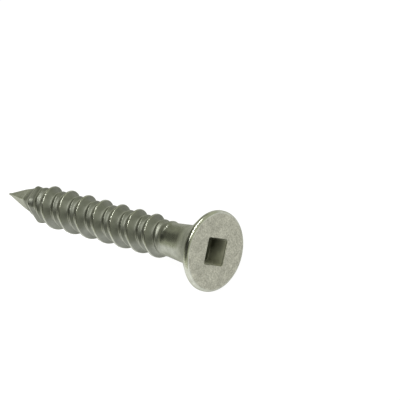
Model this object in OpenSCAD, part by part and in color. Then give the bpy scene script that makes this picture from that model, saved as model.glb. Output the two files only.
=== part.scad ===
// Countersunk masonry screw with a square drive recess, a high and low thread and a nail point.
// One piece of steel. It lies on its side, resting on the head's rim and on the thread.

/* [Head] */
// Overall length, from the head's face to the point
screw_len = 44.5; // [38:0.5:70]
// Diameter of the head at its rim
head_d = 12.6; // [11.5:0.1:14]
// Width of the band round the rim, with its rounded edge
rim_w = 0.85; // [0.5:0.05:1]
// Included angle of the countersunk seat, in degrees
seat_angle = 82; // [78:1:90]
// Rounding of the edge between the face and the rim
face_edge_r = 0.3; // [0.1:0.05:0.4]

/* [Drive recess] */
// Side of the square recess at the head's face
recess_w = 4.2; // [3.6:0.1:4.6]
// Side of the square at the recess's floor
recess_floor_w = 3.4; // [2.8:0.1:3.6]
// Depth of the recess's walls
recess_depth = 2.9; // [2:0.1:3.4]
// Depth of the hollow that the punch leaves below the walls
recess_tip = 0.6; // [0.3:0.1:1]

/* [Neck] */
// Diameter of the neck where the thread starts
neck_d = 5.3; // [5.2:0.1:5.8]
// Angle between the axis and the side of the neck, which widens towards the head
neck_taper = 6; // [2:0.5:8]
// Fillet between the seat and the neck
neck_fillet_r = 4; // [2:0.5:5]
// Distance from the head's face to the end of the plain neck
neck_end = 9.1; // [8.5:0.1:11]

/* [Thread] */
// Outside diameter of the high thread
thread_d = 6.55; // [6.2:0.05:7]
// Outside diameter of the low thread between its turns
low_thread_d = 5.5; // [5.2:0.1:5.9]
// Diameter at the root of both threads
core_d = 4.9; // [4.6:0.1:5.1]
// Advance in one turn
pitch = 3.65; // [3.4:0.05:3.9]
// Width of the high thread at its root
high_base_w = 2.1; // [1.2:0.1:2.2]
// Width of the high thread's crest
high_crest_w = 0.25; // [0.15:0.05:0.5]
// Width of the low thread at its root
low_base_w = 1.1; // [0.7:0.1:1.2]
// Width of the low thread's crest
low_crest_w = 0.2; // [0.15:0.05:0.4]
// Length over which both threads run out at the neck
run_out = 2.2; // [1.5:0.1:5]
// Distance from the point at which both threads have run out
thread_gap = 4.2; // [3.5:0.1:4.8]
// Length over which both threads run out towards the point
point_run_out = 5.5; // [2:0.5:8]
// Turn of the thread against the square recess, in degrees
thread_turn = 140; // [0:1:359]

/* [Point] */
// Angle between the axis and each of the point's four flats, in degrees
point_angle = 15.5; // [15:0.5:18]
// Turn of the four flats against the square recess, in degrees
point_turn = 86; // [0:1:89]
// Distance by which the pinched point is off the axis
point_shift = 0.15; // [0:0.05:0.3]
// Length of the steeper tip at the end of the flats
tip_len = 0.5; // [0.3:0.05:0.8]
// Side of the square at which the steeper tip starts
tip_w = 0.4; // [0.3:0.05:0.7]

/* [Lying] */
// Turn of the screw about its own axis, at which it lies still, in degrees
lying_turn = 55; // [0:1:359]

/* [Hidden] */
$fn = 96;

steel_colour = [0.60, 0.61, 0.55];

head_r = head_d / 2;
neck_r = neck_d / 2;
core_r = core_d / 2;

// Columns of points round one turn of the thread
columns = 36;
// Steps in the rounding of an edge or a fillet
arc_steps = 8;
// Place of a flank's middle row, as shares of the way down and of the way out from the crest
flank_bend = [0.55, 0.5];
// Step by which one body ends below the surface of the next, where they are joined
step = 0.02;
// Amount by which a cutting body runs past what it cuts
past = 1;

seat_half = seat_angle / 2;
// Distances of the fillet's centre from the origin, square to the seat and square to the neck
seat_reach = head_r * cos(seat_half) + rim_w * sin(seat_half) + neck_fillet_r;
neck_reach = neck_r * cos(neck_taper) + neck_end * sin(neck_taper) + neck_fillet_r;
// Centre of the fillet between the seat and the neck, as [radius, place along the axis]
fillet_centre = [neck_reach * sin(seat_half) - seat_reach * sin(neck_taper),
    seat_reach * cos(neck_taper) - neck_reach * cos(seat_half)] / sin(seat_half - neck_taper);

// Points on an arc from one direction to another, as [radius, place along the axis]
function arc(centre, r, from, to) =
    [for (i = [0:arc_steps]) let (a = from + (to - from) * i / arc_steps)
        centre + r * [cos(a), sin(a)]];

// A value that rises from 0 to 1 between two places along the axis
function ramp(z, from, to) = min(1, max(0, (z - from) / (to - from)));

// One ridge of the thread with slightly hollow flanks, as [place along the axis, height above the root]
function ridge(middle, base_w, crest_w, h) =
    let (half_base = base_w / 2, half_crest = crest_w / 2,
         bend = half_crest + flank_bend[1] * (half_base - half_crest), bend_h = h * (1 - flank_bend[0]))
    [[middle - half_base, 0],
     [middle - bend, bend_h],
     [middle - half_crest, h],
     [middle + half_crest, h],
     [middle + bend, bend_h],
     [middle + half_base, 0]];

// One whole pitch of the profile: the high ridge, then the low one half a pitch on
profile = concat(
    ridge(0, high_base_w, high_crest_w, (thread_d - core_d) / 2),
    ridge(pitch / 2, low_base_w, low_crest_w, (low_thread_d - core_d) / 2));
rows = len(profile);

// The thread's net starts inside the neck and ends past the place where the bare point starts
thread_from = pitch * (floor(neck_end / pitch) - 2);
thread_to = screw_len - thread_gap;
turns = ceil((thread_to + past - thread_from) / pitch) + 1;

// Distance from the point's own axis to its flats, at a distance from the end
function flat_reach(left, widening) = max(step, tip_w / 2 + (left - tip_len) * widening);

// Distance from the net's middle, which is off the axis by a shift, to the surface in one direction
function shank_r(z, a, h, shift) =
    let (grown = ramp(z, neck_end, neck_end + run_out),
         kept = ramp(screw_len - z, thread_gap, thread_gap + point_run_out),
         foot_r = neck_r - step,
         root_r = foot_r + (core_r - foot_r) * grown,
         round_r = sqrt(root_r ^ 2 - (shift * sin(a)) ^ 2) - shift * cos(a),
         flat_r = flat_reach(screw_len - z, tan(point_angle)) / cos((a - point_turn) % 90 - 45))
    min(round_r, flat_r) + h * grown * kept;

// Point in one row and column of the thread's helical net, whose columns meet the point's corners
function net_point(row, column) =
    let (p = profile[row % rows],
         a = point_turn + 360 * column / columns,
         z = thread_from + pitch * (floor(row / rows) + (a - thread_turn + 360) / 360) + p[0],
         shift = point_shift * ramp(z, thread_to - 2 * pitch, thread_to - pitch),
         r = shank_r(z, a, p[1], shift))
    [shift + r * cos(a), r * sin(a), z];

// Slope of the axis when the screw rests on its rim and on the first crest that touches
rest_slope = min([for (row = [0:turns * rows], column = [0:columns - 1])
    let (p = net_point(row, column))
    if (p.z > neck_end + run_out && p.z < thread_to)
        atan((head_r + p.x * cos(lying_turn) - p.y * sin(lying_turn)) / (p.z - rim_w))]);

// The head and the plain neck, turned about the axis
module head_blank() {
    rotate_extrude()
        polygon(concat(
            [[0, 0]],
            arc([head_r - face_edge_r, face_edge_r], face_edge_r, -90, 0),
            arc(fillet_centre, neck_fillet_r, 180 + seat_half, 180 + neck_taper),
            [[neck_r, neck_end], [0, neck_end]]));
}

// The square recess that the punch leaves in the face
module drive_recess() {
    corner = sqrt(2) / 2;
    slope = (recess_w - recess_floor_w) / recess_depth;
    rotate([0, 0, 45]) {
        translate([0, 0, -past])
            cylinder(h = recess_depth + past, r1 = corner * (recess_w + slope * past),
                r2 = corner * recess_floor_w, $fn = 4);
        translate([0, 0, recess_depth])
            cylinder(h = recess_tip, r1 = corner * recess_floor_w, r2 = 0, $fn = 4);
    }
}

// Core and both threads in one closed helical net, longer at both ends than the shank
module threaded_bar() {
    last_row = turns * rows;
    last_column = columns - 1;
    points = concat(
        [for (row = [0:last_row], column = [0:last_column]) net_point(row, column)],
        [[0, 0, thread_from + pitch / 2], [0, 0, thread_from + pitch * (turns - 0.5)]]);
    foot = len(points) - 2;
    top = len(points) - 1;
    // After the last column, the net goes on in the first one, a whole pitch further
    function index(row, column) =
        column < columns ? row * columns + column : (row + rows) * columns;
    walls = [for (row = [0:last_row - 1], column = [0:last_column])
        if (column < last_column || row < last_row - rows)
            let (a = index(row, column), b = index(row, column + 1),
                 c = index(row + 1, column + 1), d = index(row + 1, column))
            each [[a, d, b], [b, d, c]]];
    foot_faces = concat(
        [for (column = [0:last_column]) [foot, index(0, column), index(0, column + 1)]],
        [for (row = [0:rows - 1]) [foot, index(row + 1, 0), index(row, 0)]]);
    top_faces = concat(
        [for (column = [0:last_column - 1])
            [top, index(last_row, column + 1), index(last_row, column)]],
        [for (row = [last_row - rows:last_row - 1])
            [top, index(row, last_column), index(row + 1, last_column)]],
        [[top, index(last_row, 0), index(last_row - rows, last_column)]]);
    polyhedron(points, concat(walls, foot_faces, top_faces));
}

// The threaded shank, from inside the neck to the bare point
module threaded_shank() {
    from = neck_end - past / 2;
    intersection() {
        threaded_bar();
        translate([0, 0, from])
            cylinder(h = thread_to - from, r = head_r);
    }
}

// The bare end of the point, a square pyramid with a steeper tip, which starts inside the shank
module point_tip() {
    from = thread_gap + past;
    widening = tan(point_angle) - step / (thread_gap - tip_len);
    translate([point_shift, 0, screw_len])
        rotate([0, 0, point_turn]) {
            translate([0, 0, -from])
                cylinder(h = from - tip_len, r1 = sqrt(2) * flat_reach(from, widening),
                    r2 = sqrt(1 / 2) * tip_w, $fn = 4);
            translate([0, 0, -tip_len])
                cylinder(h = tip_len, r1 = sqrt(1 / 2) * tip_w, r2 = 0, $fn = 4);
        }
}

// The whole screw, standing on its head's face with the axis along Z
module upright_screw() {
    difference() {
        head_blank();
        drive_recess();
    }
    threaded_shank();
    point_tip();
}

// The screw laid down, with its head at the +X end and its lowest points at height 0
module screw() {
    low_x = screw_len * cos(rest_slope);
    high_x = (head_r - face_edge_r) * sin(rest_slope) + face_edge_r * (1 - cos(rest_slope));
    color(steel_colour)
        translate([(low_x - high_x) / 2, 0, head_r * cos(rest_slope) + rim_w * sin(rest_slope)])
            rotate([0, -90 - rest_slope, 0])
                rotate([0, 0, lying_turn])
                    upright_screw();
}

screw();
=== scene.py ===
# Looks of the concrete screw: a dense mesh of the same form, plated steel, camera and lights.
import math

import bmesh
import bpy
import numpy as np
from mathutils import Matrix, Vector


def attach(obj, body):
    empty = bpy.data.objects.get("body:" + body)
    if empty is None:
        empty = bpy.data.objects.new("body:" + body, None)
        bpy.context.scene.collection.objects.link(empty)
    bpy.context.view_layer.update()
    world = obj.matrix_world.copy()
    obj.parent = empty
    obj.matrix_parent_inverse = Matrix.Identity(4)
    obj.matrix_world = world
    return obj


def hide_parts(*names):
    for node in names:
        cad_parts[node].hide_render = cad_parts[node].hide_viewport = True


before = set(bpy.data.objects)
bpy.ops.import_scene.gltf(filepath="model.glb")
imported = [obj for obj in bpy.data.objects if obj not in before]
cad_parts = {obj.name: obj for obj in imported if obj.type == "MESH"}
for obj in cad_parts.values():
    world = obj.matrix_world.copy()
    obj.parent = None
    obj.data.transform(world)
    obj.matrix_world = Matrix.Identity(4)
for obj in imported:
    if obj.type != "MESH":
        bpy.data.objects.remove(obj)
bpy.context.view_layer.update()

# Sizes of the screw in millimetres, as in the part's source
SCREW_LEN = 44.5
HEAD_R = 6.3
RIM_W = 0.85
SEAT_HALF = math.radians(41)
FACE_EDGE_R = 0.3
RECESS_FLOOR_W = 3.4
RECESS_DEPTH = 2.9
RECESS_TIP = 0.6
NECK_R = 2.65
NECK_TAPER = math.radians(6)
NECK_FILLET_R = 4.0
NECK_END = 9.1
CORE_R = 2.45
HIGH_H = 0.825
LOW_H = 0.3
PITCH = 3.65
HIGH_BASE_W = 2.1
HIGH_CREST_W = 0.25
LOW_BASE_W = 1.1
LOW_CREST_W = 0.2
RUN_OUT = 2.2
THREAD_END = SCREW_LEN - 4.2
POINT_RUN_OUT = 5.5
THREAD_TURN = math.radians(140)
POINT_ANGLE = math.radians(15.5)
POINT_TURN = math.radians(-4)
POINT_SHIFT = 0.15
TIP_LEN = 0.5
TIP_W = 0.4
LYING_TURN = math.radians(55)

# Columns of the dense mesh round the screw
COLUMNS = 144
# Place along the axis from which the columns turn from the recess's corners to the point's
TURN_FROM = 3

# Recess: rounding of its four corners, worn lip, and place of the wall just below the lip
SQUARE_CORNER_R = 0.3
LIP_R = 0.16
LIP_HALF_W = 2.07
# Rings of the mesh, as shares: from the floor's middle out, up the walls, and across the face
FLOOR_RINGS = (0.3, 0.65, 0.95)
WALL_RINGS = (0.0, 0.1, 0.2, 0.35, 0.5, 0.65, 0.8, 0.9, 1.0)
FACE_RINGS = (0.02, 0.15, 0.35, 0.55, 0.75, 0.92, 1.0)

# Rounding of the face's edge, a little larger than in the source, and its stretch along the axis
WORN_EDGE_R = 0.42
EDGE_STRETCH = 1.3
# Rounding between the rim and the seat, and how far before the rim's end its centre lies
UNDER_RIM_R = 0.12
UNDER_RIM_BACK = 0.1

# Thread: hollow of the flanks, rounding of both crests with the width of its blend in roundings,
# and width of the step at a ridge's foot
FLANK_BEND = 1.15
CREST_ROUND = 0.09
LOW_CREST_ROUND = 0.03
CREST_BLEND = 0.9
FOOT_STEP = 0.015
# Wear of the ridges, as a share of their height, and depth of the nicks in the crests
WEAR = 0.02
NICK = 0.007
# Power by which the ridges' feet draw in as they run out towards the point
RUN_OUT_POWER = 0.9

# Point: rounding of its edges, which grows towards the thread, and its largest share of a side
CORNER_R = 0.15
CORNER_GROWTH = 0.5
CORNER_GROWTH_FROM = 3.2
CORNER_GROWTH_OVER = 2.5
CORNER_SHARE = 0.7
# Bluntness of the tip, where a smaller power is blunter, and the least half width of the point
TIP_POWER = 0.35
LEAST_HALF_W = 0.01
# Width of the rounding where the point's flats leave the root
ROOT_BLEND = 0.2
# Distances of the point's rings from its end
POINT_RINGS = (3.9, 3.5, 3.1, 2.7, 2.3, 1.9, 1.6, 1.3, 1.0, 0.8, 0.65, 0.52, 0.4, 0.28, 0.17, 0.08, 0.03)

# Marks on the mesh, from 0 to 1, by which the material tells the surfaces apart
MARKS = ("crest", "flank", "neck", "pale", "face", "recess")
# Share of the crest's mark, for wear and a painted glint, on the high and on the low ridge
HIGH_WEAR_AND_GLINT = 1.0
LOW_WEAR_AND_GLINT = 0.3
# Reach of the crest's mark in roundings, flank's mark on a crest without the crest's wear and painted
# glint, and at a ridge's foot
CREST_REACH = 0.6
CREST_FLANK = 1.1
FOOT_FLANK = 0.3
# Place where the neck's finish starts on the fillet, and the length over which it comes in
NECK_TONE_FROM = 4.6
NECK_TONE_OVER = 1.6
# Length over which the rim's pale tone fades into the seat
RIM_FADE = 0.3
# Rate at which the neck's finish fades as the ridges grow
NECK_FADE = 2.5
# Shares of the run-out at which the valleys start to turn to the flanks' darker tone, a painted shade over
# a highlight there, and over which they do
ENDING_FROM = 0.7
ENDING_OVER = 0.5
# Distance before the thread's end where the point's finish starts, and the length of the change
BARE_BEFORE = 1.5
BARE_OVER = 1.2
# How pale the bare point is, from the neck's tone at 0 to the rim's at 1
POINT_PALE = 0.3
# The recess's side with painted light, a lighter lower wall as if lit from above: its direction, how far
# it reaches round, and how soft its edge is
PAINTED_LIT_SIDE = math.radians(160)
PAINTED_LIT_REACH = 0.2
PAINTED_LIT_SOFT = 1.1
# How the recess's painted shade darkens with its depth: the power, its growth on the painted-lit side, and
# the shade taken off there
PAINTED_SHADE_POWER = 0.5
PAINTED_LIT_POWER = 0.2
PAINTED_LIT_LOSS = 0.45

# The camera: image size, place of the head's centre in the image, scale and distance
IMAGE_PX = 400
HEAD_PX = (215.98, 251.79)
PX_PER_MM = 6.609
CAMERA_DISTANCE = 1013.7
SENSOR_WIDTH = 36
# Direction from the head to the point as the camera sees it, as angles in the image's own axes
VIEW_SWING = 0.26878
VIEW_DEPTH = 0.72082
# Turn of the square recess about the axis, from the image's upright
RECESS_VIEW_TURN = math.radians(4.9)

# Colours of the steel, as linear values
# Flank and valley tones of the same plating: the darker flank is painted shade, the lighter valley painted
# light against the shade in the thread's hollows
FLANK = (0.20, 0.207, 0.18, 1)
VALLEY = (0.42, 0.43, 0.37, 1)
NECK = (0.35, 0.36, 0.31, 1)
FACE_DARK = (0.30, 0.298, 0.247, 1)
FACE_LIGHT = (0.56, 0.557, 0.472, 1)
# Lighter tone of the crests: partly wear of the plating, partly a painted glint
WORN_AND_GLINT = (0.36, 0.368, 0.32, 1)
PALE = (0.44, 0.45, 0.39, 1)
EDGE_TINT = (0.55, 0.555, 0.50, 1)
# Painted light and shade in the recess: a light wall near the lip, darkening with depth
RECESS_PAINTED_LIGHT = (0.62, 0.62, 0.52, 1)
RECESS_PAINTED_SHADE = (0.06, 0.062, 0.042, 1)
# Roughness of the steel
NECK_ROUGH = 0.24
FLANK_ROUGH = 0.45
VALLEY_ROUGH = 0.5
FACE_ROUGH = (0.42, 0.55)
CREST_ROUGH = 0.22
PALE_ROUGH = 0.2
# Metallic value inside the recess
RECESS_METAL = 0.25
# Noises, each as scale, detail and roughness
BLOTCH = (420, 3, 0.6)
TONE = (800, 4, 0.65)
MOTTLE = (1500, 5, 0.7)
SPECKLE = (4200, 2, 0.6)
GRAIN = (5200, 3, 0.7)
# Darkest and lightest uneven tone, and strength and height of the grain's relief
TONE_SPAN = (0.84, 1.16)
GRAIN_STRENGTH = 0.3
GRAIN_HEIGHT = 0.00005

# Light; the directions are (to the image's right, up, towards the camera)
# The floor's glow, which is stronger in front of the screw, and the span of the change in metres
FLOOR_GLOW = 0.96
FRONT_GLOW = 1.32
FRONT_WAY = (-0.6, -1, 0)
FRONT_SPAN = (-0.002, 0.008)
FLOOR_HALF_W = 3.0
FLOOR_COLOUR = (0.1, 0.1, 0.1, 1)
FLOOR_ROUGH = 0.9
STUDIO_COLOUR = (0.68, 0.7004, 0.5576, 1)
# Patches of the studio: direction, cosines where they start and are full, and their strength
PATCHES = (
    ((-0.88, 0.46, 0.12), 0.87, 0.95, 0.2),
    ((-0.45, 0.86, -0.24), 0.75, 0.97, 0.65),
    ((-0.80, -0.50, 0.30), 0.75, 0.93, 1.5),
    ((-0.87, 0.0, 0.49), 0.83, 0.90, 0.15),
    ((-0.42, -0.08, 0.90), 0.86, 0.95, 0.2),
)
# The long narrow key light: direction to it, direction of its length, what it aims at, and its sizes
KEY_WAY = (-0.31, 0.79, 0.53)
KEY_ALONG = (-0.545, -0.549, 0.641)
KEY_AIM = Vector((0, 0, 0.004))
KEY_DISTANCE = 0.6
KEY_LENGTH = 0.62
KEY_WIDTH = 0.04
KEY_WATTS = 2.0


def clamp01(x):
    return np.clip(x, 0, 1)


def smooth(x):
    """A ramp from 0 to 1 with soft ends."""
    t = clamp01(x)
    return t * t * (3 - 2 * t)


def soft_min(a, b, width):
    """The smaller of two values, rounded where they cross."""
    h = clamp01(0.5 + (b - a) / (2 * width))
    return b + (a - b) * h - width * h * (1 - h)


def square_r(angle, half_w, corner_r):
    """Distance from the centre to the side of a square with rounded corners."""
    to_side = half_w / np.maximum(np.abs(np.cos(angle)), np.abs(np.sin(angle)))
    # Direction and reach of the rounded corner, from its arc's centre
    turn = np.abs((angle + math.pi / 4) % (math.pi / 2) - math.pi / 4)
    centre = half_w - corner_r
    along = centre * (np.cos(turn) + np.sin(turn))
    across = centre * (np.cos(turn) - np.sin(turn))
    to_arc = along + np.sqrt(np.maximum(corner_r ** 2 - across ** 2, 0))
    in_corner = half_w * np.tan(turn) > centre
    return np.where(in_corner, to_arc, to_side)


def wobble(z, angle):
    """Slow uneven wear round and along the screw, as a sum of waves between about -1 and 1."""
    waves = 0
    for i in range(1, 7):
        k = i + 1
        round_wave = np.sin(3 * i * angle + 2.21 * k * z + 2.3 * k)
        long_wave = np.cos(1.17 * i * z - 1.1 * k)
        waves = waves + round_wave * long_wave / math.sqrt(i)
    return waves / 2.5


def nicks(angle, turn, place):
    """Small uneven wear along a crest, mostly near 0 and now and then up to 1, from four waves."""
    row = turn * 7.31 + place * 3.7
    fine = np.sin(61.7 * angle + 5.3 * row) * np.sin(23.1 * angle - 2.9 * row + 1.3)
    coarse = np.sin(9.7 * angle + 1.9 * row) * np.sin(4.3 * angle - 3.1 * row)
    return np.maximum(fine + 0.6 * coarse, 0) ** 2


def grown_at(z):
    """Share of the thread's height that is reached beyond the plain neck."""
    return clamp01((z - NECK_END) / RUN_OUT)


def kept_at(z):
    """Share of the thread's height that is left before the bare point."""
    return clamp01((THREAD_END - z) / POINT_RUN_OUT)


def flat_r(z, angle):
    """Distance from the point's own axis to its flats, with rounded corners."""
    left = SCREW_LEN - z
    body_w = TIP_W / 2 + (left - TIP_LEN) * math.tan(POINT_ANGLE)
    tip_w = TIP_W / 2 * clamp01(left / TIP_LEN) ** TIP_POWER
    half_w = np.where(left > TIP_LEN, body_w, tip_w)
    grown = smooth((left - CORNER_GROWTH_FROM) / CORNER_GROWTH_OVER)
    rounding = np.minimum(CORNER_R + CORNER_GROWTH * grown, CORNER_SHARE * half_w)
    return square_r(angle - POINT_TURN - math.pi / 4, np.maximum(half_w, LEAST_HALF_W), rounding)


def point_shift(z):
    """Distance of the net's middle from the screw's axis, which grows before the point."""
    return POINT_SHIFT * clamp01((z - THREAD_END + 2 * PITCH) / PITCH)


def shank_r(z, angle, height):
    """Distance from the net's middle to the surface, at one height of the thread's profile."""
    grown = grown_at(z)
    root = NECK_R + (CORE_R - NECK_R) * smooth(grown)
    shift = point_shift(z)
    round_r = np.sqrt(root ** 2 - (shift * np.sin(angle)) ** 2) - shift * np.cos(angle)
    return soft_min(round_r, flat_r(z, angle), ROOT_BLEND) + height * grown * kept_at(z)


def ridge(middle, base_w, crest_w, height, rounding, worn):
    """One ridge with nearly straight flanks and a rounded crest.

    Each row is (place along the axis, height, share of the ridge's height, crest's and flank's marks)."""
    half_base, half_crest = base_w / 2, crest_w / 2
    crest_rows = [half_crest + rounding * k for k in (-1, -0.5, 0, 0.5, 1)]
    flank_from = crest_rows[-1]
    flank_rows = [flank_from + (half_base - flank_from) * k for k in (0.25, 0.5, 0.75, 0.97, 1.0)]

    def rounded(flank_h):
        return float(soft_min(flank_h, height, rounding * CREST_BLEND))

    half = []
    for x in crest_rows + flank_rows:
        h = rounded(height * max(0.0, (half_base - x) / (half_base - half_crest)) ** FLANK_BEND)
        # worn is the share of the crest's mark: wear and a painted glint
        if x <= half_crest + rounding * CREST_REACH:
            marks = (worn, CREST_FLANK * (1 - worn))
        else:
            marks = (0.0, 1.0 if x < half_base else FOOT_FLANK)
        half.append((x, h, h / height, *marks))
    half.append((half_base + FOOT_STEP, 0.0, 0.0, 0.0, 0.0))
    top_h = rounded(height * (1 + half_crest / half_base))
    top = (0, top_h, top_h / height, worn, 0.0)
    other = [(-x, *rest) for x, *rest in reversed(half)]
    return [(middle + x, *rest) for x, *rest in other + [top] + half]


# One pitch of the thread's profile: the high ridge, then the low one
PROFILE = (ridge(0, HIGH_BASE_W, HIGH_CREST_W, HIGH_H, CREST_ROUND, HIGH_WEAR_AND_GLINT)
           + ridge(PITCH / 2, LOW_BASE_W, LOW_CREST_W, LOW_H, LOW_CREST_ROUND, LOW_WEAR_AND_GLINT))
ROWS = len(PROFILE)


def ring_angles(share):
    """Directions of the columns: from the square's at the head to the point's at the thread."""
    return 2 * math.pi * np.arange(COLUMNS) / COLUMNS + POINT_TURN * share


def arc(centre, radius, start, end, steps):
    """Points on an arc, as (radius, place along the axis)."""
    angles = np.linspace(math.radians(start), math.radians(end), steps + 1)
    return [(centre[0] + radius * math.cos(a), centre[1] + radius * math.sin(a)) for a in angles]


def between(a, b):
    """Points at a quarter, a half and three quarters of the way between two points."""
    return [(a[0] + (b[0] - a[0]) * s, a[1] + (b[1] - a[1]) * s) for s in (0.25, 0.5, 0.75)]


def head_profile():
    """Outline of the head and the neck from the face's edge to the thread."""
    seat_reach = HEAD_R * math.cos(SEAT_HALF) + RIM_W * math.sin(SEAT_HALF) + NECK_FILLET_R
    neck_reach = NECK_R * math.cos(NECK_TAPER) + NECK_END * math.sin(NECK_TAPER) + NECK_FILLET_R
    divisor = math.sin(SEAT_HALF - NECK_TAPER)
    fillet = ((neck_reach * math.sin(SEAT_HALF) - seat_reach * math.sin(NECK_TAPER)) / divisor,
              (seat_reach * math.cos(NECK_TAPER) - neck_reach * math.cos(SEAT_HALF)) / divisor)
    seat, neck = math.degrees(SEAT_HALF), math.degrees(NECK_TAPER)
    edge = arc((HEAD_R - WORN_EDGE_R, WORN_EDGE_R), WORN_EDGE_R, -84, 0, 9)
    edge = [(r, z * EDGE_STRETCH) for r, z in edge]
    under = arc((HEAD_R - UNDER_RIM_R, RIM_W - UNDER_RIM_BACK), UNDER_RIM_R, 0, seat, 4)
    bend = arc(fillet, NECK_FILLET_R, 180 + seat, 180 + neck, 18)
    return edge + under + between(under[-1], bend[0]) + bend + between(bend[-1], (NECK_R, NECK_END))


class Net:
    """Vertices and faces of the screw, in its own frame: the axis along Z from the head's face."""

    def __init__(self):
        self.points = []
        self.marks = {name: [] for name in MARKS}
        self.faces = []

    def ring(self, radius, z, angle, **marks):
        """Adds a ring of vertices and returns their numbers; a mark is one value or one a column."""
        radius = np.broadcast_to(radius, angle.shape)
        marks = {name: np.broadcast_to(value, angle.shape) for name, value in marks.items()}
        return [self.point(radius[i], z, angle[i], **{name: value[i] for name, value in marks.items()})
                for i in range(len(angle))]

    def point(self, radius, z, angle, **marks):
        """Adds one vertex with its marks for the material, and returns its number."""
        x = float(point_shift(z)) + radius * math.cos(angle)
        self.points.append((x, radius * math.sin(angle), float(z)))
        for name, values in self.marks.items():
            values.append(float(marks.get(name, 0)))
        return len(self.points) - 1

    def face(self, *corners):
        """Adds a face and leaves out corners that coincide."""
        kept = [c for i, c in enumerate(corners) if c != corners[i - 1]]
        if len(set(kept)) > 2:
            self.faces.append(tuple(kept))

    def band(self, upper, lower):
        """Faces between two rings, seen from outside with the lower one further along the axis."""
        for i in range(len(upper)):
            j = (i + 1) % len(upper)
            self.face(upper[i], upper[j], lower[j], lower[i])

    def fan(self, ring, middle, outward):
        """Faces between a ring and one vertex."""
        for i in range(len(ring)):
            pair = (ring[i], ring[(i + 1) % len(ring)])
            self.face(middle, *(pair if outward else reversed(pair)))


def add_recess(net):
    """The square recess and the flat face round it; returns the face's outermost ring."""
    angle = ring_angles(0)
    apex = net.point(0, RECESS_DEPTH + RECESS_TIP, 0, recess=1)
    rings = []
    floor = RECESS_FLOOR_W / 2
    for share in FLOOR_RINGS:
        z = RECESS_DEPTH + RECESS_TIP * (1 - share)
        rings.append(net.ring(square_r(angle, floor * share, SQUARE_CORNER_R * share), z, angle, recess=1))
    # Painted light: the recess's walls on this side are lighter, as if lit from above
    painted_lit = smooth((np.cos(angle - PAINTED_LIT_SIDE) + PAINTED_LIT_REACH) / PAINTED_LIT_SOFT)
    for share in WALL_RINGS:
        z = RECESS_DEPTH + (LIP_R - RECESS_DEPTH) * share
        half = floor + (LIP_HALF_W - floor) * share
        # Painted shade: the wall's mark darkens with depth, less so on the painted-lit side
        dark = (1 - share) ** (PAINTED_SHADE_POWER + PAINTED_LIT_POWER * painted_lit) * (1 - PAINTED_LIT_LOSS * painted_lit)
        rings.append(net.ring(square_r(angle, half, SQUARE_CORNER_R), z, angle, recess=dark))
    for x, z in arc((LIP_R, LIP_R), LIP_R, 190, 270, 7):
        radius = square_r(angle, LIP_HALF_W + x, SQUARE_CORNER_R + x)
        rings.append(net.ring(radius, z, angle, face=1 - z / LIP_R))
    inner = square_r(angle, LIP_HALF_W + LIP_R, SQUARE_CORNER_R + LIP_R)
    for share in FACE_RINGS:
        rings.append(net.ring(inner + (HEAD_R - WORN_EDGE_R - inner) * share, 0, angle, face=1))
    net.fan(rings[0], apex, False)
    for first, second in zip(rings, rings[1:]):
        net.band(first, second)
    return rings[-1]


def add_head(net, inner):
    """Rounded edge, rim, seat, fillet and neck; returns the last ring."""
    last = inner
    for radius, z in head_profile():
        angle = ring_angles(smooth((z - TURN_FROM) / (NECK_END - TURN_FROM)))
        ring = net.ring(radius, z, angle, neck=smooth((z - NECK_TONE_FROM) / NECK_TONE_OVER),
                        pale=clamp01((RIM_W + RIM_FADE - z) / RIM_FADE))
        net.band(last, ring)
        last = ring
    ring = net.ring(NECK_R, NECK_END, ring_angles(1), neck=1)
    net.band(last, ring)
    return ring


def add_thread(net, start):
    """Both ridges as a helical net, cut square at the neck and at the point; returns the last ring."""
    angle = ring_angles(1)
    end = net.ring(shank_r(THREAD_END, angle, 0), THREAD_END, angle, neck=1, pale=POINT_PALE)
    first_z = PITCH * (math.floor(NECK_END / PITCH) - 2)
    turns = math.ceil((THREAD_END + 1 - first_z) / PITCH) + 1
    numbers = []
    for row in range(turns * ROWS + 1):
        turn = row // ROWS
        place, height, share, near, flank = PROFILE[row % ROWS]
        z = first_z + PITCH * (turn + (angle - THREAD_TURN + 2 * math.pi) / (2 * math.pi)) + place
        grown, kept = grown_at(z), kept_at(z)
        worn = height * (1 - WEAR * (1 + wobble(z, angle))) - near * NICK * nicks(angle, turn, place)
        worn = worn * share ** (RUN_OUT_POWER * (1 - kept))
        radius = shank_r(z, angle, worn)
        # The marks fade over the second half of the run-out only
        raised = grown * clamp01(2 * kept)
        # Painted shade: in the run-out the valleys take the flanks' darker tone
        ending = smooth((ENDING_FROM - kept) / ENDING_OVER)
        bare = smooth((z - THREAD_END + BARE_BEFORE) / BARE_OVER)
        marks = {"crest": near * raised,
                 "flank": np.maximum.reduce([flank * raised, ending, 1 - grown]),
                 "neck": np.maximum(bare, clamp01(1 - NECK_FADE * grown)),
                 "pale": POINT_PALE * bare}
        line = []
        for i in range(COLUMNS):
            if z[i] <= NECK_END:
                line.append(start[i])
            elif z[i] >= THREAD_END:
                line.append(end[i])
            else:
                here = {name: values[i] for name, values in marks.items()}
                line.append(net.point(radius[i], z[i], angle[i], **here))
        numbers.append(line)

    def number(row, column):
        # After the last column, the net goes on in the first one, a whole pitch further
        return numbers[row][column] if column < COLUMNS else numbers[row + ROWS][0]

    for row in range(turns * ROWS):
        for column in range(COLUMNS):
            if column < COLUMNS - 1 or row < turns * ROWS - ROWS:
                net.face(number(row, column), number(row, column + 1),
                         number(row + 1, column + 1), number(row + 1, column))
    return end


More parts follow.
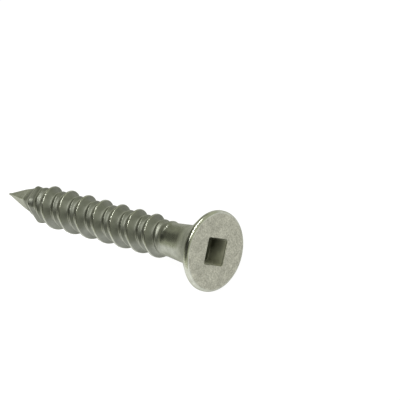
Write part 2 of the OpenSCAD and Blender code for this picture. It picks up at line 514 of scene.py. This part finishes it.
def add_point(net, start):
    """The bare square point with a slightly blunt tip."""
    angle = ring_angles(1)
    last = start
    for left in POINT_RINGS:
        z = SCREW_LEN - left
        ring = net.ring(shank_r(z, angle, 0), z, angle, neck=1, pale=POINT_PALE)
        net.band(last, ring)
        last = ring
    tip = net.point(0, SCREW_LEN, 0, neck=1, pale=POINT_PALE)
    net.fan(last, tip, True)


def rest_slope(points):
    """Slope of the axis when the screw rests on its rim and on the first crest that touches."""
    x = points[:, 0] * math.cos(LYING_TURN) - points[:, 1] * math.sin(LYING_TURN)
    z = points[:, 2]
    on_thread = (z > NECK_END + RUN_OUT) & (z < THREAD_END)
    return math.atan(np.min((HEAD_R + x[on_thread]) / (z[on_thread] - RIM_W)))


def lying_matrix(slope):
    """From the screw's own frame, in millimetres, to the row's frame, in metres."""
    low_x = SCREW_LEN * math.cos(slope)
    high_x = (HEAD_R - FACE_EDGE_R) * math.sin(slope) + FACE_EDGE_R * (1 - math.cos(slope))
    height = HEAD_R * math.cos(slope) + RIM_W * math.sin(slope)
    place = Matrix.Translation(((low_x - high_x) / 2, 0, height))
    lie = Matrix.Rotation(-math.pi / 2 - slope, 4, "Y") @ Matrix.Rotation(LYING_TURN, 4, "Z")
    return Matrix.Scale(0.001, 4) @ place @ lie


def link_object(name, data):
    """Makes an object and puts it in the scene."""
    made = bpy.data.objects.new(name, data)
    bpy.context.scene.collection.objects.link(made)
    return made


def make_screw():
    """The screw's mesh, laid down where the CAD has it; returns it with the slope of its axis."""
    net = Net()
    face_ring = add_recess(net)
    neck_ring = add_head(net, face_ring)
    point_ring = add_thread(net, neck_ring)
    add_point(net, point_ring)
    slope = rest_slope(np.array(net.points))
    matrix = lying_matrix(slope)
    mesh = bpy.data.meshes.new("screw_body")
    mesh.from_pydata([matrix @ Vector(p) for p in net.points], [], net.faces)
    mesh.validate()
    for name, values in net.marks.items():
        mesh.attributes.new(name, "FLOAT", "POINT").data.foreach_set("value", values)
    work = bmesh.new()
    work.from_mesh(mesh)
    bmesh.ops.recalc_face_normals(work, faces=work.faces)
    work.to_mesh(mesh)
    work.free()
    for polygon in mesh.polygons:
        polygon.use_smooth = True
    screw = link_object("screw_body", mesh)
    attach(screw, "root")
    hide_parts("screw")
    return screw, slope


def material(name):
    """A material with one shader; returns it with its nodes, its links and the shader."""
    made = bpy.data.materials.new(name)
    made.use_nodes = True
    nodes = made.node_tree.nodes
    nodes.clear()
    out = nodes.new("ShaderNodeOutputMaterial")
    shader = nodes.new("ShaderNodeBsdfPrincipled")
    made.node_tree.links.new(shader.outputs["BSDF"], out.inputs["Surface"])
    return made, nodes, made.node_tree.links, shader


def map_range(nodes, links, value, span, results, kind="LINEAR"):
    """A value that goes from one result to the other over a span."""
    node = nodes.new("ShaderNodeMapRange")
    node.interpolation_type = kind
    for name, number in zip(("From Min", "From Max", "To Min", "To Max"), (*span, *results)):
        node.inputs[name].default_value = number
    links.new(value, node.inputs["Value"])
    return node.outputs["Result"]


def dot_with(nodes, links, vector, way):
    """How far a vector goes in one direction."""
    node = nodes.new("ShaderNodeVectorMath")
    node.operation = "DOT_PRODUCT"
    node.inputs[1].default_value = way
    links.new(vector, node.inputs[0])
    return node.outputs["Value"]


def steel():
    """Plated steel: a matt mottled face, a smoother olive shank with painted shade on the flanks and
    painted light in the valleys, crests lighter from wear and a painted glint, and painted shade deepening
    in the recess.
    """
    made, nodes, links, shader = material("plated_steel")
    place = nodes.new("ShaderNodeTexCoord")

    def noise(scale, detail, roughness):
        node = nodes.new("ShaderNodeTexNoise")
        node.inputs["Scale"].default_value = scale
        node.inputs["Detail"].default_value = detail
        node.inputs["Roughness"].default_value = roughness
        links.new(place.outputs["Object"], node.inputs["Vector"])
        return node.outputs["Fac"]

    def mark(name):
        node = nodes.new("ShaderNodeAttribute")
        node.attribute_name = name
        return node.outputs["Fac"]

    def ranged(value, low, high, to_low, to_high):
        return map_range(nodes, links, value, (low, high), (to_low, to_high))

    def mix(kind, factor, a, b):
        """Mixes two colours or two numbers; each is a socket or a fixed value."""
        node = nodes.new("ShaderNodeMix")
        node.data_type = kind
        for name, value in (("Factor", factor), ("A", a), ("B", b)):
            socket = [i for i in node.inputs if i.name == name and i.enabled][0]
            if isinstance(value, (tuple, float, int)):
                socket.default_value = value
            else:
                links.new(value, socket)
        return [o for o in node.outputs if o.enabled][0]

    def blend(factor, a, b):
        return mix("RGBA", factor, a, b)

    def mix_value(factor, a, b):
        return mix("FLOAT", factor, a, b)

    mottle = noise(*MOTTLE)
    recess = mark("recess")
    in_recess = ranged(recess, 0, 0.05, 0, 1)

    # Flanks darker with painted shade, valleys lighter with painted light, neck in its own tone
    colour = blend(mark("neck"), blend(mark("flank"), VALLEY, FLANK), NECK)
    colour = blend(ranged(mottle, 0.35, 0.65, 0, 0.25), colour, FLANK)
    face = blend(ranged(noise(*SPECKLE), 0.3, 0.7, 0, 1), FACE_DARK, FACE_LIGHT)
    face = blend(ranged(noise(*BLOTCH), 0.35, 0.7, 0, 0.3), face, FACE_DARK)
    colour = blend(mark("face"), colour, face)
    # Crests: a lighter tone, partly wear, partly a painted glint
    colour = blend(ranged(mark("crest"), 0.4, 1.0, 0, 1), colour, WORN_AND_GLINT)
    colour = blend(mark("pale"), colour, PALE)
    # Painted shade in the recess: from a light wall at the lip to dark at the floor
    wall = blend(ranged(recess, 0, 0.9, 0, 1), RECESS_PAINTED_LIGHT, RECESS_PAINTED_SHADE)
    colour = blend(in_recess, colour, wall)
    uneven = nodes.new("ShaderNodeVectorMath")
    uneven.operation = "SCALE"
    links.new(colour, uneven.inputs[0])
    links.new(ranged(noise(*TONE), 0.3, 0.7, *TONE_SPAN), uneven.inputs["Scale"])
    links.new(uneven.outputs["Vector"], shader.inputs["Base Color"])

    rough = mix_value(mark("neck"), mix_value(mark("flank"), VALLEY_ROUGH, FLANK_ROUGH), NECK_ROUGH)
    rough = mix_value(mark("face"), rough, ranged(mottle, 0.3, 0.7, *FACE_ROUGH))
    rough = mix_value(ranged(mark("crest"), 0, 0.5, 0, 1), rough, CREST_ROUGH)
    rough = mix_value(mark("pale"), rough, PALE_ROUGH)
    links.new(rough, shader.inputs["Roughness"])
    links.new(mix_value(in_recess, 1.0, RECESS_METAL), shader.inputs["Metallic"])
    shader.inputs["Specular Tint"].default_value = EDGE_TINT

    bump = nodes.new("ShaderNodeBump")
    bump.inputs["Strength"].default_value = GRAIN_STRENGTH
    bump.inputs["Distance"].default_value = GRAIN_HEIGHT
    links.new(noise(*GRAIN), bump.inputs["Height"])
    links.new(bump.outputs["Normal"], shader.inputs["Normal"])
    return made


def floor_material(front):
    """A pale floor like a light table, which glows more at the front of the screw."""
    made, nodes, links, shader = material("pale_floor")
    place = nodes.new("ShaderNodeTexCoord")
    ahead = dot_with(nodes, links, place.outputs["Object"], front)
    glow = map_range(nodes, links, ahead, FRONT_SPAN, (FLOOR_GLOW, FRONT_GLOW), "SMOOTHSTEP")
    links.new(glow, shader.inputs["Emission Strength"])
    shader.inputs["Base Color"].default_value = FLOOR_COLOUR
    shader.inputs["Roughness"].default_value = FLOOR_ROUGH
    shader.inputs["Specular IOR Level"].default_value = 0.0
    shader.inputs["Emission Color"].default_value = (1, 1, 1, 1)
    return made


def view_axes(slope):
    """Right, up and back of the camera in the row's frame."""
    point_way = Vector((-math.cos(VIEW_DEPTH) * math.cos(VIEW_SWING),
                        math.cos(VIEW_DEPTH) * math.sin(VIEW_SWING),
                        -math.sin(VIEW_DEPTH)))
    upright = Vector((0, 1, 0))
    across = (upright - point_way * upright.dot(point_way)).normalized()
    third = point_way.cross(across)
    turn = RECESS_VIEW_TURN - LYING_TURN
    lifted = across * math.cos(turn) + third * math.sin(turn)
    z_axis = lifted * math.cos(slope) - point_way * math.sin(slope)
    x_axis = (-point_way - z_axis * math.sin(slope)) / math.cos(slope)
    y_axis = z_axis.cross(x_axis)
    to_camera = Matrix((x_axis, y_axis, z_axis)).transposed()
    return to_camera.row[0].copy(), to_camera.row[1].copy(), to_camera.row[2].copy()


def turned(x_axis, y_axis, z_axis):
    """The matrix that turns an object so that its own axes point in three directions."""
    return Matrix((x_axis, y_axis, z_axis)).transposed().to_4x4()


def from_image(way, axes):
    """A direction given in the image, to the right, up and towards the camera, in the row's frame."""
    return way[0] * axes[0] + way[1] * axes[1] + way[2] * axes[2]


def add_camera(slope):
    """The camera; returns its right, up and back in the row's frame."""
    right, up, back = view_axes(slope)
    head = lying_matrix(slope).translation
    place = head + back * CAMERA_DISTANCE / 1000
    # The image's centre lies this far from the head's centre, in the head's plane
    px = 0.001 / PX_PER_MM
    aim = head - right * (HEAD_PX[0] - IMAGE_PX / 2) * px + up * (HEAD_PX[1] - IMAGE_PX / 2) * px
    look = (place - aim).normalized()
    side = up.cross(look).normalized()
    top = look.cross(side)
    camera = link_object("camera", bpy.data.cameras.new("camera"))
    camera.matrix_world = Matrix.Translation(place) @ turned(side, top, look)
    camera.data.sensor_width = SENSOR_WIDTH
    camera.data.lens = SENSOR_WIDTH * PX_PER_MM * CAMERA_DISTANCE / IMAGE_PX
    camera.data.clip_start = 0.05
    camera.data.clip_end = 20
    bpy.context.scene.camera = camera
    return side, top, look


def add_key(axes):
    """A long narrow light, whose image lies along the crests' upper edges."""
    data = bpy.data.lights.new("key", "AREA")
    data.shape = "RECTANGLE"
    data.size = KEY_LENGTH
    data.size_y = KEY_WIDTH
    data.energy = KEY_WATTS
    way = from_image(KEY_WAY, axes).normalized()
    along = from_image(KEY_ALONG, axes)
    along = (along - along.dot(way) * way).normalized()
    lamp = link_object("key", data)
    place = Matrix.Translation(KEY_AIM + KEY_DISTANCE * way)
    lamp.matrix_world = place @ turned(along, way.cross(along), way)


def add_floor(axes):
    """The floor that the screw lies on."""
    mesh = bpy.data.meshes.new("floor")
    half = FLOOR_HALF_W
    mesh.from_pydata([(-half, -half, 0), (half, -half, 0), (half, half, 0), (-half, half, 0)],
                     [], [(0, 1, 2, 3)])
    floor = link_object("floor", mesh)
    front = from_image(FRONT_WAY, axes)
    floor.data.materials.append(floor_material(Vector((front.x, front.y, 0)).normalized()))


def add_world(axes):
    """A dim studio: grey all round, dark at the image's upper left, lighter at its lower left."""
    world = bpy.data.worlds.new("studio")
    world.use_nodes = True
    nodes, links = world.node_tree.nodes, world.node_tree.links
    background = nodes["Background"]
    place = nodes.new("ShaderNodeTexCoord")
    strength = None
    for way, start, full, level in PATCHES:
        direction = from_image(way, axes).normalized()
        near = dot_with(nodes, links, place.outputs["Generated"], direction)
        value = map_range(nodes, links, near, (start, full), (1, level), "SMOOTHSTEP")
        if strength is not None:
            node = nodes.new("ShaderNodeMath")
            node.operation = "MULTIPLY"
            links.new(strength, node.inputs[0])
            links.new(value, node.inputs[1])
            value = node.outputs["Value"]
        strength = value
    links.new(strength, background.inputs["Strength"])
    background.inputs["Color"].default_value = STUDIO_COLOUR
    bpy.context.scene.world = world


screw, slope = make_screw()
screw.data.materials.append(steel())
axes = add_camera(slope)
add_floor(axes)
add_world(axes)
bpy.context.scene.view_settings.view_transform = "Standard"
add_key(axes)
